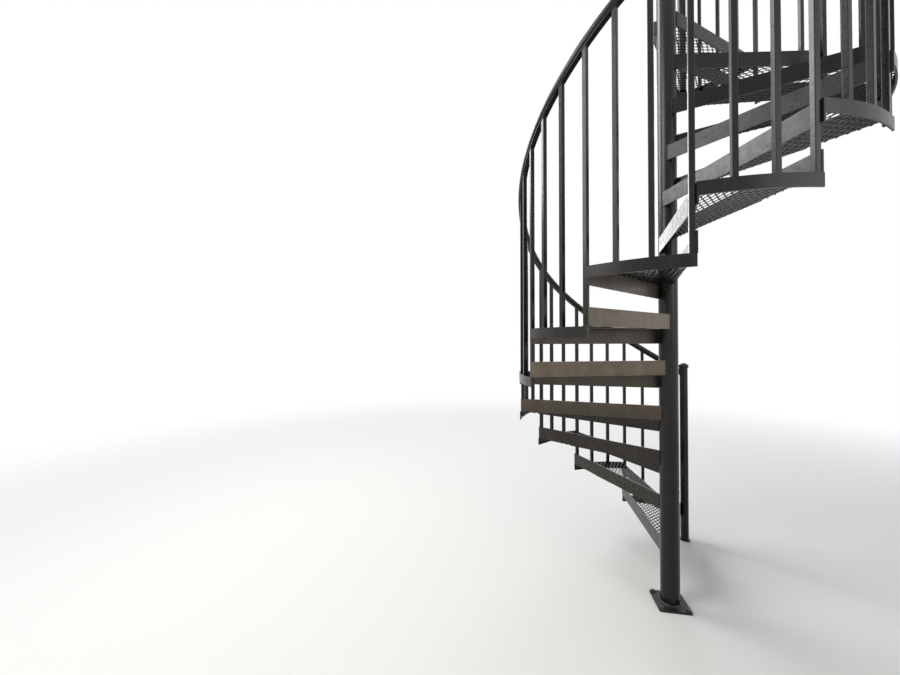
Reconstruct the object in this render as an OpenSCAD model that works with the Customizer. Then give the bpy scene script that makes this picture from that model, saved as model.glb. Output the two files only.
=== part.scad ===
// Steel spiral staircase: wedge treads of expanded metal welded round a pipe column,
// with square balusters, a round helical handrail and a small landing at the top.
// The origin is on the column's axis, on the underside of its base plate, with Z up.
// Turns are azimuths in degrees and grow as the stair climbs, anticlockwise from above.

/* [Stair] */
// Number of treads below the landing
tread_count = 12; // [8:1:12]
// Rise from one tread to the next
rise = 235; // [200:1:250]
// Turn from one tread to the next, in degrees
tread_turn = 27.3; // [24:0.1:27.6]
// Radius to the outer face of the tread rims
stair_r = 762; // [640:1:900]

/* [Column] */
// Outer diameter of the column's pipe
column_d = 88.9; // [88:0.1:110]
// Wall of the column's pipe
column_wall = 5.5; // [3:0.1:8]
// Height of the column above the landing
column_above = 1010; // [900:5:1100]
// Side of the square base plate
base_side = 152; // [145:1:220]
// Thickness of the base plate
base_t = 10; // [8:1:16]
// Rounding of the base plate's corners
base_corner_r = 8; // [3:1:15]
// Turn of the base plate about the column, in degrees
base_turn = 31.5; // [0:0.5:90]
// Diameter of the anchor holes
anchor_d = 13; // [10:0.5:16]
// Distance from the base plate's corner to the centre of its anchor hole
anchor_inset = 18.5; // [16:0.5:22]
// Leg of the weld round the foot of the column
foot_weld = 7; // [4:0.5:9]

/* [Treads] */
// Thickness of the flat bars at the front and rear of a tread
bar_t = 6; // [5:0.5:9]
// Depth of the front bar, which hangs below the tread
front_bar_h = 75; // [60:1:90]
// Height of the rear bar, which stands on the tread
rear_bar_h = 75; // [55:1:90]
// Distance from the column's axis to the outer face of a front bar
front_bar_offset = 43.5; // [38:0.5:44]
// Distance from the column's axis to the outer face of a rear bar
rear_bar_offset = 27; // [20:0.5:40]
// Reach of the front bars beyond the curved rim
bar_reach = 1; // [0.5:0.5:3]
// Depth of the rear bars' ends in the curved rim
bar_bite = 0.6; // [0.4:0.1:1]
// Thickness of the curved rim
rim_t = 6; // [4:0.5:8]
// Depth of the curved rim
rim_h = 46; // [35:1:58]

/* [Expanded metal] */
// Pitch of the diamonds along their long way
mesh_long = 66; // [48:0.5:78]
// Pitch of the diamonds along their short way
mesh_short = 30; // [22:0.5:36]
// Width of a strand
strand_w = 4; // [3:0.1:6]
// Thickness of the expanded metal
mesh_t = 3.2; // [2:0.1:4.5]
// Width of the welded edge strip
mesh_edge = 4; // [3:0.5:8]

/* [Balusters] */
// Side of the square baluster tubes
baluster_side = 19; // [16:0.5:25]
// Wall of the baluster tubes
baluster_wall = 1.6; // [1.2:0.1:2.5]
// Rounding of the baluster tubes' corners
baluster_corner_r = 2.4; // [2:0.1:4]
// Balusters for each tread, counting the one at its front
balusters_per_tread = 3; // [2:1:4]
// Depth of the balusters' feet below the top of their tread
baluster_foot = 24; // [12:1:32]

/* [Handrail] */
// Height of the rail's centre above the pitch line of the treads
rail_height = 896; // [850:1:960]
// Diameter of the round rail
rail_d = 38; // [34:1:50]
// Width of the flat bar under the rail
rail_bar_w = 25; // [20:1:30]
// Thickness of the flat bar under the rail
rail_bar_t = 5; // [4:0.5:6]
// Half of the turn in which the rail bends level over the landing, in degrees
rail_bend = 7; // [4:0.5:9]

/* [Newels] */
// Diameter of the newel posts
newel_d = 48.3; // [48:0.1:60]
// Wall of the newel posts
newel_wall = 3.2; // [2.5:0.1:4]
// Height of a newel's top above the centre of the rail where they meet
newel_above_rail = 42; // [42:1:60]
// Diameter of the foot disc under the bottom newel
newel_foot_d = 64; // [62:1:90]
// Thickness of the foot disc
newel_foot_t = 6; // [5:1:10]
// Reach of a cap beyond its post
cap_reach = 5.4; // [3:0.1:8]
// Height of a cap's straight side
cap_side_h = 22; // [16:1:30]
// Height of the dome on a newel's cap
cap_dome_h = 11; // [6:1:20]
// Height of the dome on the column's cap
column_dome_h = 18; // [10:1:30]
// Rounding of the caps' edges
cap_ease = 5; // [2:0.5:7]

/* [Landing] */
// Distance from the column's axis to the face of the landing that meets the deck
deck_face = 70; // [62:1:100]
// Diameter of the holes for the deck bolts
deck_bolt_d = 13; // [10:0.5:16]
// Distance between the two deck bolts
deck_bolt_pitch = 460; // [300:5:500]

/* [Fits] */
// Clearance between a piece and the one that it is welded to
seat_gap = 0.2; // [0.1:0.05:0.4]

/* [Hidden] */
function numbered(name, k) = str(name, "_", k < 10 ? "0" : "", k);

$fn = 64;
paint = "#24231f";
mesh_paint = "#1b1b19";

// Azimuths of the first front post and of the landing's, which ends the last full turn
first_turn = 360 - (tread_count + 1) * tread_turn;
landing_turn = 360 - tread_turn;
landing_z = (tread_count + 1) * rise;

column_r = column_d / 2;
column_top = landing_z + column_above;
base_corner = base_side / sqrt(2) - base_corner_r * (sqrt(2) - 1);
anchor_r = base_corner - anchor_inset;

// The balusters stand inside the rim, with their outer corners a gap away from it
rim_in_r = stair_r - rim_t;
front_end_r = stair_r + bar_reach;
rear_end_r = rim_in_r + bar_bite;
half_post = baluster_side / 2;
post_r = sqrt(pow(rim_in_r - seat_gap, 2) - pow(half_post, 2)) - half_post;

// The rail's flat bar fills the chord that it cuts from the round
rail_r = rail_d / 2;
rail_chord = sqrt(pow(rail_r, 2) - pow(rail_bar_w / 2, 2));
rail_drop = rail_chord + rail_bar_t;
rail_sides = 14;
rail_step = 3.5;
rail_grade = rise / tread_turn;
level_z = landing_z + rail_height;
landing_rail_turn = landing_turn + rail_bend;

function post_turn(k) = first_turn + k * tread_turn;
function tread_z(k) = (k + 1) * rise;

// Offset of a point from the line through the axis at an azimuth
function across(p, turn) = p[1] * cos(turn) - p[0] * sin(turn);
// A point at a radius and azimuth, moved sideways by t in the climbing direction
function beside(r, turn, t) = [r * cos(turn) - t * sin(turn), r * sin(turn) + t * cos(turn)];
// Azimuth of a bar that runs from the column so that its line at offset y meets the point p
function bar_turn(p, y) = atan2(p[1], p[0]) - asin(y / norm(p));
// Where a line at offset y crosses a circle about the column
function along(r, y) = sqrt(r * r - y * y);

// A tread's bars touch the square posts at its front and rear, taken here from azimuth 0
front_turn = bar_turn(beside(post_r - half_post, 0, half_post + seat_gap), -front_bar_offset);
rear_turn = bar_turn(
    beside(post_r + half_post, tread_turn, half_post + seat_gap),
    rear_bar_offset - bar_t
);

// The bottom newel touches the first front bar, and the top one stands on the landing's corner
newel_r = newel_d / 2;
newel_side = -front_bar_offset - seat_gap - newel_r;
newel_turn = first_turn + front_turn + asin(newel_side / post_r);
newel_x = post_r * cos(newel_turn);
newel_y = post_r * sin(newel_turn);
top_newel_y = deck_face - newel_r;
top_newel_x = along(stair_r - newel_r, top_newel_y);
top_newel_turn = 360 + atan2(top_newel_y, top_newel_x);

// Height of the rail's centre: it follows the pitch of the treads, then bends level
function pitch_z(turn) = rise + (turn - first_turn) * rail_grade + rail_height;
function bend_part(turn) = (turn - landing_turn) / rail_bend;
function rail_z(turn) =
    bend_part(turn) <= -1 ? pitch_z(turn)
    : bend_part(turn) >= 1 ? level_z
    : level_z - rail_grade * rail_bend * pow(1 - bend_part(turn), 2) / 4;
// Climb in millimetres a degree, and the angle of the rail that it gives
function rail_climb(turn) = rail_grade * min(1, max(0, (1 - bend_part(turn)) / 2));
function rail_slope(turn) = atan(rail_climb(turn) * 180 / (PI * post_r));
function rail_under(turn) = rail_z(turn) - rail_drop / cos(rail_slope(turn));

bottom_newel_top = rail_z(newel_turn) + newel_above_rail;
top_newel_top = level_z + newel_above_rail;

// Balusters that share the landing's rim evenly, no further apart than on the treads
landing_span = top_newel_turn - landing_turn;
landing_balusters = ceil(landing_span * balusters_per_tread / tread_turn) - 1;
function landing_post_turn(j) = landing_turn + j * landing_span / (landing_balusters + 1);

// Half pitches of the diamonds, and the distance from a diamond's centre to its strands
half_long = mesh_long / 2;
half_short = mesh_short / 2;
strand_pitch = half_long * half_short / norm([half_long, half_short]);

deck_bar_end = along(front_end_r, deck_face);
deck_bolt_mid = deck_bar_end / 2;

// Outline of the rail: most of a circle, closed by the flat bar under it
arc_end = 180 + asin(rail_chord / rail_r);
rail_profile = concat(
    [[rail_bar_w / 2, -rail_drop]],
    [for (i = [0 : rail_sides])
        let (at = 180 - arc_end + i * (2 * arc_end - 180) / rail_sides)
        [rail_r * cos(at), rail_r * sin(at)]],
    [[-rail_bar_w / 2, -rail_drop]]
);

// Post

// Square with rounded corners, about the origin
module rounded_square(side, r) {
    inner = side - 2 * r;
    square([side, inner], center = true);
    square([inner, side], center = true);
    for (x = [-inner / 2, inner / 2], y = [-inner / 2, inner / 2])
        translate([x, y]) circle(r);
}

module square_tube(side, wall, corner_r, low, high)
    translate([0, 0, low]) linear_extrude(high - low) difference() {
        rounded_square(side, corner_r);
        square(side - 2 * wall, center = true);
    }

module round_tube(d, wall, low, high) {
    translate([0, 0, low]) difference() {
        cylinder(h = high - low, d = d);
        translate([0, 0, -1]) cylinder(h = high - low + 2, d = d - 2 * wall);
    }
}

// Post cap with eased edges and a low dome
module cap(post_d, dome_h) {
    r = post_d / 2 + cap_reach;
    flat_r = r - cap_ease;
    ball_r = (pow(flat_r, 2) + pow(dome_h, 2)) / (2 * dome_h);
    rotate_extrude() {
        square([flat_r, cap_side_h]);
        translate([0, cap_ease]) square([r, cap_side_h - 2 * cap_ease]);
        for (y = [cap_ease, cap_side_h - cap_ease])
            translate([flat_r, y]) circle(cap_ease);
        intersection() {
            translate([0, cap_side_h - 1]) square([flat_r, dome_h + 2]);
            translate([0, cap_side_h + dome_h - ball_r]) circle(ball_r);
        }
    }
}

// Column

module base_plate() color(paint) rotate([0, 0, base_turn]) {
    difference() {
        linear_extrude(base_t) rounded_square(base_side, base_corner_r);
        for (corner = [45 : 90 : 315])
            rotate([0, 0, corner]) translate([anchor_r, 0, -1])
                cylinder(h = base_t + 2, d = anchor_d);
    }
    translate([0, 0, base_t]) rotate_extrude()
        translate([column_r + seat_gap, 0])
            polygon([[0, 0], [foot_weld, 0], [foot_weld * 0.4, foot_weld * 0.4], [0, foot_weld]]);
}

module column() color(paint)
    round_tube(column_d, column_wall, base_t, column_top);

module column_cap() color(paint)
    translate([0, 0, column_top]) cap(column_d, column_dome_h);

// Treads

// Flat bar from the column out to a radius, with one face at offset y
module radial_bar(turn, y, h, end_r) {
    start = along(column_r + seat_gap, min(abs(y), abs(y + bar_t)));
    rotate([0, 0, turn]) translate([start, y, 0])
        cube([along(end_r, max(abs(y), abs(y + bar_t))) - start, bar_t, h]);
}

// Half of the plane, on the climbing side of a bar's line at offset y
module beyond(turn, y)
    rotate(turn) translate([-2 * stair_r, y]) square([4 * stair_r, 4 * stair_r]);

// Curved rim that ends in the middle of two bars' thickness
module rim(start_turn, end_turn, end_offset)
    translate([0, 0, -rim_h]) linear_extrude(rim_h) difference() {
        circle(stair_r, $fn = 720);
        circle(rim_in_r, $fn = 720);
        rotate(180) beyond(start_turn, front_bar_offset - bar_t / 2);
        beyond(end_turn, end_offset - bar_t / 2);
        beyond(90 + end_turn, 0);
    }

// The origin of a tread is on the axis, at the level of its top
module tread_frame() {
    translate([0, 0, -front_bar_h])
        radial_bar(front_turn, -front_bar_offset, front_bar_h, front_end_r);
    rim(front_turn, rear_turn, rear_bar_offset);
    radial_bar(rear_turn, rear_bar_offset - bar_t, rear_bar_h, rear_end_r);
}

module tread(k) color(paint)
    rotate([0, 0, post_turn(k)]) translate([0, 0, tread_z(k)]) tread_frame();

// Room for a square post at an azimuth, open towards the rim
module post_notch(turn, inset) {
    side = baluster_side + 2 * (seat_gap + inset);
    rotate(turn) translate([post_r - side / 2, -side / 2]) square([side + rim_t, side]);
}

// Outline of the expanded metal of a tread, drawn in from its edges by inset
module tread_area(inset) {
    difference() {
        circle(rim_in_r - seat_gap - inset, $fn = 720);
        circle(column_r + seat_gap + inset);
        beyond(90 + tread_turn / 2, 0);
        rotate(180) beyond(front_turn, front_bar_offset - bar_t - seat_gap - inset);
        beyond(rear_turn, rear_bar_offset - inset);
        for (j = [1 : balusters_per_tread])
            post_notch(j * tread_turn / balusters_per_tread, inset);
    }
}

module landing_area(inset) {
    difference() {
        circle(rim_in_r - seat_gap - inset, $fn = 720);
        circle(column_r + seat_gap + inset);
        rotate(180) beyond(landing_turn + front_turn, front_bar_offset - bar_t - seat_gap - inset);
        beyond(0, deck_face - bar_t - seat_gap - inset);
        beyond(90, -bar_t / 2 - seat_gap - inset);
        for (j = [1 : landing_balusters])
            post_notch(landing_post_turn(j), inset);
    }
}

// Opening between four strands
module opening(part)
    polygon([
        [half_long * part, 0], [0, half_short * part],
        [-half_long * part, 0], [0, -half_short * part]
    ]);

// Openings from a front bar to the line at offset y of another bar,
// with the long way of the diamonds along the front bar
module openings(turn, end_turn, end_y) {
    first_y = bar_t - front_bar_offset;
    rotate(turn)
        for (row = [0 : ceil(stair_r / half_short)], place = [0 : ceil(stair_r / mesh_long)])
            let (
                x = (place + (row % 2) / 2) * mesh_long,
                y = first_y + row * half_short,
                reach = norm([x, y])
            )
            if (reach < rim_in_r + half_short && reach > column_r - half_long
                && across([x, y], end_turn - turn) < end_y + half_short)
                translate([x, y]) opening(1 - strand_w / 2 / strand_pitch);
}

module mesh(k) color(mesh_paint)
    rotate([0, 0, post_turn(k)]) translate([0, 0, tread_z(k) - mesh_t])
        linear_extrude(mesh_t) difference() {
            tread_area(0);
            intersection() {
                tread_area(mesh_edge);
                openings(front_turn, rear_turn, rear_bar_offset);
            }
        }

// Balusters

// Square tube up to the rail, its top cut to the rail's slope
module baluster(turn, foot_z) {
    top = rail_under(turn) - seat_gap;
    rotate([0, 0, turn]) translate([post_r, 0, 0]) difference() {
        square_tube(
            baluster_side, baluster_wall, baluster_corner_r, foot_z, top + baluster_side
        );
        translate([0, 0, top]) rotate([rail_slope(turn), 0, 0])
            translate([-baluster_side, -baluster_side, 0]) cube(2 * baluster_side);
    }
}

// The post at a tread's front stands in the rear corner of the tread below
module tread_balusters(k) {
    for (j = [k == 0 ? 1 : 0 : balusters_per_tread - 1])
        baluster(
            post_turn(k) + j * tread_turn / balusters_per_tread,
            tread_z(j == 0 ? k - 1 : k) - baluster_foot
        );
}

// The balusters share four runs, one for each quarter of the treads
module balusters(run) color(paint)
    for (k = [floor(run * tread_count / 4) : floor((run + 1) * tread_count / 4) - 1])
        tread_balusters(k);

// Handrail

function ring(turn) = [for (p = rail_profile) [
    (post_r + p[0]) * cos(turn),
    (post_r + p[0]) * sin(turn),
    rail_z(turn) + p[1] / cos(rail_slope(turn))
]];

// Swept rail between two azimuths, closed at each end by a fan about its centre
module rail(start, end) {
    steps = ceil((end - start) / rail_step);
    count = len(rail_profile);
    turns = [for (i = [0 : steps]) start + i * (end - start) / steps];
    centres = [for (turn = [start, end]) [post_r * cos(turn), post_r * sin(turn), rail_z(turn)]];
    first = (steps + 1) * count;
    polyhedron(
        points = concat([for (turn = turns) each ring(turn)], centres),
        faces = concat(
            [for (i = [0 : steps - 1], j = [0 : count - 1])
                let (a = i * count + j, b = i * count + (j + 1) % count)
                each [[a, a + count, b], [b, a + count, b + count]]],
            [for (j = [0 : count - 1]) [first, j, (j + 1) % count]],
            [for (j = [0 : count - 1])
                [first + 1, steps * count + (j + 1) % count, steps * count + j]]
        ),
        convexity = 8
    );
}

module beside_newel(x, y, low) difference() {
    children();
    translate([x, y, low]) cylinder(h = 4 * rail_d, r = newel_r + seat_gap);
}

module handrail_lower() color(paint)
    beside_newel(newel_x, newel_y, rail_z(newel_turn) - 2 * rail_d)
        rail(newel_turn, post_turn(floor(tread_count / 3)));

module handrail_middle() color(paint)
    rail(post_turn(floor(tread_count / 3)), post_turn(floor(tread_count * 2 / 3)));

module handrail_upper() color(paint)
    rail(post_turn(floor(tread_count * 2 / 3)), landing_rail_turn);

// Newels

module newel_post() color(paint) translate([newel_x, newel_y, 0]) {
    cylinder(h = newel_foot_t, d = newel_foot_d);
    round_tube(newel_d, newel_wall, newel_foot_t, bottom_newel_top);
}

module newel_cap() color(paint)
    translate([newel_x, newel_y, bottom_newel_top]) cap(newel_d, cap_dome_h);

module top_newel() color(paint) translate([top_newel_x, top_newel_y, 0])
    round_tube(newel_d, newel_wall, landing_z, top_newel_top);

module top_newel_cap() color(paint)
    translate([top_newel_x, top_newel_y, top_newel_top]) cap(newel_d, cap_dome_h);

// Landing

module landing_frame() color(paint) difference() {
    translate([0, 0, landing_z]) {
        translate([0, 0, -front_bar_h])
            radial_bar(landing_turn + front_turn, -front_bar_offset, front_bar_h, front_end_r);
        rim(landing_turn + front_turn, 0, deck_face);
        // Bar against the deck, and the short bar that ties it to the column
        translate([-bar_t / 2, deck_face - bar_t, -front_bar_h])
            cube([deck_bar_end + bar_t / 2, bar_t, front_bar_h]);
        translate([-bar_t / 2, along(column_r + seat_gap, bar_t / 2), -front_bar_h])
            cube([bar_t, deck_face - bar_t / 2 - along(column_r + seat_gap, bar_t / 2), front_bar_h]);
    }
    for (x = [deck_bolt_mid - deck_bolt_pitch / 2, deck_bolt_mid + deck_bolt_pitch / 2])
        translate([x, deck_face + 1, landing_z - front_bar_h / 2]) rotate([90, 0, 0])
            cylinder(h = bar_t + 2, d = deck_bolt_d);
}

module landing_mesh() color(mesh_paint)
    translate([0, 0, landing_z - mesh_t]) linear_extrude(mesh_t) difference() {
        landing_area(0);
        intersection() {
            landing_area(mesh_edge);
            openings(landing_turn + front_turn, 360, deck_face);
        }
    }

// The landing's front post stands in the rear corner of the last tread
module landing_balusters() color(paint)
    for (j = [0 : landing_balusters])
        baluster(landing_post_turn(j), (j == 0 ? landing_z - rise : landing_z) - baluster_foot);

module landing_rail() color(paint)
    beside_newel(top_newel_x, top_newel_y, level_z - 2 * rail_d)
        rail(landing_rail_turn, top_newel_turn);

base_plate();
column();
column_cap();
newel_post();
newel_cap();
for (k = [1 : tread_count]) {
    tread(k - 1);
    mesh(k - 1);
}
for (run = [1 : 4])
    balusters(run - 1);
handrail_lower();
handrail_middle();
handrail_upper();
landing_frame();
landing_mesh();
landing_balusters();
landing_rail();
top_newel();
top_newel_cap();
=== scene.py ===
# %% [markdown]
# # A steel spiral staircase
# The real stair is a pipe column with twelve wedge treads and a small landing welded to it.
# Square balusters carry a round handrail, and everything is sprayed with black paint.
# The measured model comes first and stays fixed. Blender then adds what the eye looks for:
# paint, the raised expanded metal, weld beads, bolts and a smooth handrail.

# %% Load the measured model
import math
from functools import partial

import bpy
from mathutils import Matrix, Vector


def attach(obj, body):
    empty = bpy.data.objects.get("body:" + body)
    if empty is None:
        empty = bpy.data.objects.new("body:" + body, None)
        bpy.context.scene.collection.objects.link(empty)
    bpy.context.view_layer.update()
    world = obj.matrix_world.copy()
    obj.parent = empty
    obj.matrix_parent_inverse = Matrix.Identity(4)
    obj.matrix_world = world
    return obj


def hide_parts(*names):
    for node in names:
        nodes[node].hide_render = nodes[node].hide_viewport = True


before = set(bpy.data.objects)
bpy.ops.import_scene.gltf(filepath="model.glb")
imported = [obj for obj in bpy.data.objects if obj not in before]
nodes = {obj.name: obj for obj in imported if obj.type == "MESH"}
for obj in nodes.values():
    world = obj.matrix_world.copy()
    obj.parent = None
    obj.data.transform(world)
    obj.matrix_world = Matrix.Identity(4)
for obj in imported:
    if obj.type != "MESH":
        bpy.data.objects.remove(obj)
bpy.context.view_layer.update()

# %% [markdown]
# ## Camera
# The camera stands close to the stair at chest height, with a wide lens, so the treads
# overhead show their undersides. A short focal length gives that strong perspective.
# Setting the sensor to fit horizontally keeps the framing the same for any picture height,
# and two small shifts stand for a slightly cropped picture.

# %% Camera
CAMERA_AT = Vector((-2.1556, -0.4100, 1.3593))
LOOK_TURN = math.radians(41.591)
LOOK_UP = math.radians(0.685)
LENS_MM = 14.502
SENSOR_MM = 36.0
CROP_SHIFT = (-0.00217, -0.00308)
NEAREST = 0.05
FARTHEST = 80.0

camera_data = bpy.data.cameras.new("camera")
camera_data.sensor_fit = "HORIZONTAL"
camera_data.sensor_width = SENSOR_MM
camera_data.lens = LENS_MM
camera_data.shift_x, camera_data.shift_y = CROP_SHIFT
camera_data.clip_start = NEAREST
camera_data.clip_end = FARTHEST
camera = bpy.data.objects.new("camera", camera_data)
camera.location = CAMERA_AT
look = Vector((math.cos(LOOK_TURN), math.sin(LOOK_TURN), math.tan(LOOK_UP)))
camera.rotation_mode = "QUATERNION"
camera.rotation_quaternion = look.to_track_quat("-Z", "Y")
bpy.context.scene.collection.objects.link(camera)
bpy.context.scene.camera = camera
print("camera at", [round(v, 2) for v in camera.location], "lens", camera_data.lens)

# %% [markdown]
# ## A short way to wire nodes
# Shader trees and Geometry Nodes trees are wired alike: a node is added, its settings are
# chosen, and each input gets either a value or the output of another node. One helper
# does all of that, and a second one does sums, so the recipes below read as lists of steps.


# %% Helpers for nodes
def put(tree, kind, inputs=None, **settings):
    """Adds a node; an input may be a value or another node's output."""
    node = tree.nodes.new(kind)
    for setting, value in settings.items():
        setattr(node, setting, value)
    for key, value in (inputs or {}).items():
        if isinstance(value, bpy.types.NodeSocket):
            tree.links.new(value, node.inputs[key])
        else:
            node.inputs[key].default_value = value
    return node


def maths(tree, operation, *values):
    """One sum on values or outputs, such as ADD or SINE."""
    inputs = dict(enumerate(values))
    return put(tree, "ShaderNodeMath", inputs, operation=operation).outputs[0]


print("node helpers ready")

# %% [markdown]
# ## Soft studio light
# Black gloss is lit by what it mirrors, so a studio hangs tall soft boxes beside it. Two
# large lamps high on the left lay the broad sheen on the upper column, posts and bars that
# the sun gives them outdoors, and a weak one on the right does it for the foot. A fourth
# one keeps the far side from going flat.

# %% Lights
SUN_TINT = (1.0, 0.98, 0.95)
LOW_SUN_TINT = (1.0, 0.93, 0.85)
SKY_TINT = (0.94, 0.97, 1.0)


def soft_box(name, at, size, power, aim_height, tint):
    """A lamp that looks at the column's axis, at a height above the floor."""
    data = bpy.data.lights.new(name, "AREA")
    data.shape = "RECTANGLE"
    data.size, data.size_y = size
    data.energy = power
    data.color = tint
    lamp = bpy.data.objects.new(name, data)
    lamp.location = at
    lamp.rotation_mode = "QUATERNION"
    lamp.rotation_quaternion = (Vector((0, 0, aim_height)) - Vector(at)).to_track_quat("-Z", "Y")
    bpy.context.scene.collection.objects.link(lamp)


soft_box("key_light", at=(-0.4, 4.5, 5.3), size=(2.6, 3.5), power=228, aim_height=2.8, tint=SUN_TINT)
soft_box("front_light", at=(-3.7, 2.3, 3.9), size=(2.2, 3.0), power=120, aim_height=2.4, tint=SUN_TINT)
soft_box("side_light", at=(-1.5, -5.6, 3.2), size=(4.0, 3.4), power=65, aim_height=1.2, tint=LOW_SUN_TINT)
soft_box("far_light", at=(4.8, 1.9, 4.0), size=(2.8, 3.4), power=90, aim_height=2.0, tint=SKY_TINT)

# %% [markdown]
# ## White surroundings
# The even part of the light comes from the world. It is white for the camera and for
# reflections, and plainer for the light itself, so the background is white without
# adding light to the paint.

# %% White surroundings
SKY_STRENGTH = 0.3
WHITE = (1, 1, 1, 1)

world = bpy.data.worlds.new("studio")
bpy.context.scene.world = world
world.use_nodes = True
sky_tree = world.node_tree
sky_tree.nodes.clear()
rays = put(sky_tree, "ShaderNodeLightPath").outputs
seen = maths(sky_tree, "MAXIMUM", rays["Is Camera Ray"], rays["Is Glossy Ray"])
seen = maths(sky_tree, "MAXIMUM", seen, rays["Is Transmission Ray"])
plain = put(sky_tree, "ShaderNodeBackground", {"Color": (*SKY_TINT, 1), "Strength": SKY_STRENGTH})
white = put(sky_tree, "ShaderNodeBackground", {"Color": WHITE, "Strength": 1.0})
mixed = put(sky_tree, "ShaderNodeMixShader", {0: seen, 1: plain.outputs[0], 2: white.outputs[0]})
put(sky_tree, "ShaderNodeOutputWorld", {"Surface": mixed.outputs[0]})
bpy.context.scene.view_settings.view_transform = "Standard"
print("strength of the world's light:", SKY_STRENGTH)

# %% [markdown]
# ## Floor
# The stair stands on a plain pale floor that is there only to catch its shadow. It is one
# large flat sheet.
# A studio bends its paper floor up into the wall, so no horizon shows. Here the floor's
# material turns into plain white with the distance from the stair, which does the same.

# %% Floor
FLOOR_HALF = 70.0
FLOOR_PAPER = (0.83, 0.83, 0.82, 1)
FADE_FROM = 1.6
FADE_TO = 7.0

floor_data = bpy.data.meshes.new("floor")
floor_corners = [(FLOOR_HALF * x, FLOOR_HALF * y, 0) for x, y in ((-1, -1), (1, -1), (1, 1), (-1, 1))]
floor_data.from_pydata(floor_corners, [], [(0, 1, 2, 3)])
floor = bpy.data.objects.new("floor", floor_data)
bpy.context.scene.collection.objects.link(floor)
floor_paint = bpy.data.materials.new("floor_paint")
floor_paint.use_nodes = True
floor_tree = floor_paint.node_tree
floor_surface = floor_tree.nodes["Principled BSDF"]
floor_surface.inputs["Base Color"].default_value = FLOOR_PAPER
floor_surface.inputs["Roughness"].default_value = 0.9
floor_surface.inputs["Specular IOR Level"].default_value = 0.2
floor_spot = put(floor_tree, "ShaderNodeTexCoord").outputs["Object"]
distance = put(floor_tree, "ShaderNodeVectorMath", {0: floor_spot}, operation="LENGTH").outputs["Value"]
fade = put(floor_tree, "ShaderNodeMapRange",
           {"Value": distance, "From Min": FADE_FROM, "From Max": FADE_TO},
           interpolation_type="SMOOTHSTEP").outputs["Result"]
floor_rays = put(floor_tree, "ShaderNodeLightPath").outputs
looked_at = maths(floor_tree, "MAXIMUM", floor_rays["Is Camera Ray"], floor_rays["Is Glossy Ray"])
whiteness = maths(floor_tree, "MULTIPLY", fade, looked_at)
paper_white = put(floor_tree, "ShaderNodeEmission", {"Color": WHITE, "Strength": 1.0})
blended = put(floor_tree, "ShaderNodeMixShader",
              {0: whiteness, 1: floor_surface.outputs[0], 2: paper_white.outputs[0]})
floor_tree.links.new(blended.outputs[0], floor_tree.nodes["Material Output"].inputs["Surface"])
floor_data.materials.append(floor_paint)
print("floor is", 2 * FLOOR_HALF, "m wide")

# %% [markdown]
# ## The stair's rule
# A spiral stair is one rule repeated: each step turns by the same angle and climbs by the
# same height. Every piece below is placed by that rule, in metres and degrees, from the
# column's axis. The gap is the hair's breadth that the measured model leaves between
# pieces that are welded to each other.

# %% The stair's rule
TREADS = 12
RISE = 0.235
TURN = 27.3
FIRST_TURN = 360 - (TREADS + 1) * TURN
LANDING_TURN = 360 - TURN
LANDING_Z = (TREADS + 1) * RISE
STAIR_R = 0.762
COLUMN_R = 0.04445
GAP = 0.0002


def beside(r, turn, t, z=0.0):
    """The point at a radius and azimuth, moved sideways by t in the climbing direction."""
    a = math.radians(turn)
    return Vector((r * math.cos(a) - t * math.sin(a), r * math.sin(a) + t * math.cos(a), z))


def post_turn(k):
    """The azimuth of the post that tread k shares with the tread below it."""
    return FIRST_TURN + k * TURN


def tread_z(k):
    return (k + 1) * RISE


print("first post at", round(FIRST_TURN, 2), "degrees, landing at", round(LANDING_Z, 3), "m")

# %% [markdown]
# ## Bars and posts
# Each tread is framed by a flat bar in front, which hangs below its level, one behind,
# which stands above it, and a curved rim. The straight bars don't point at the column's
# axis: each is moved to its own side, and turned so that it meets the post that it is
# welded to. The posts stand just inside the rims.

# %% Bars and posts
BAR_T = 0.006
BAR_H = 0.075
BAR_REACH = 0.001
RIM_T = 0.006
RIM_IN_R = STAIR_R - RIM_T
HALF_POST = 0.0095
POST_FOOT = 0.024
POST_R = math.sqrt((RIM_IN_R - GAP) ** 2 - HALF_POST ** 2) - HALF_POST
FRONT_OFFSET = 0.0435
REAR_OFFSET = 0.027
DECK_FACE = 0.070


def bar_turn(point, offset):
    """The azimuth of a bar whose line at an offset from the axis meets the point."""
    reach = math.hypot(point.x, point.y)
    return math.degrees(math.atan2(point.y, point.x) - math.asin(offset / reach))


FRONT_TURN = bar_turn(beside(POST_R - HALF_POST, 0, HALF_POST + GAP), -FRONT_OFFSET)
REAR_TURN = bar_turn(beside(POST_R + HALF_POST, TURN, HALF_POST + GAP), REAR_OFFSET - BAR_T)
print("bars are turned by", round(FRONT_TURN, 2), "and", round(REAR_TURN, 2), "degrees")

# %% [markdown]
# ## Weathered black paint
# Sprayed steel outdoors is never one black. The coat is thicker and glossier in places,
# dust settles on whatever faces up, rain draws faint streaks down the sides, and small
# chips at rubbed spots show rust. A pale tint on the bars' faces that point up the stair is
# painted light: it stands for the light that sunlit surroundings bounce onto those faces.
# Each of these is a mask made of noise in metres, read from Object coordinates, so it has
# the same scale on every piece.
# A picture of paint would be quicker, but noise has no seams and suits any size of part.


# %% Helpers for paint
def noise(tree, where, scale, detail, rough=0.55):
    """Noise with about so many features in a metre."""
    inputs = {"Vector": where, "Scale": scale, "Detail": detail, "Roughness": rough}
    return put(tree, "ShaderNodeTexNoise", inputs).outputs["Fac"]


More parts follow.
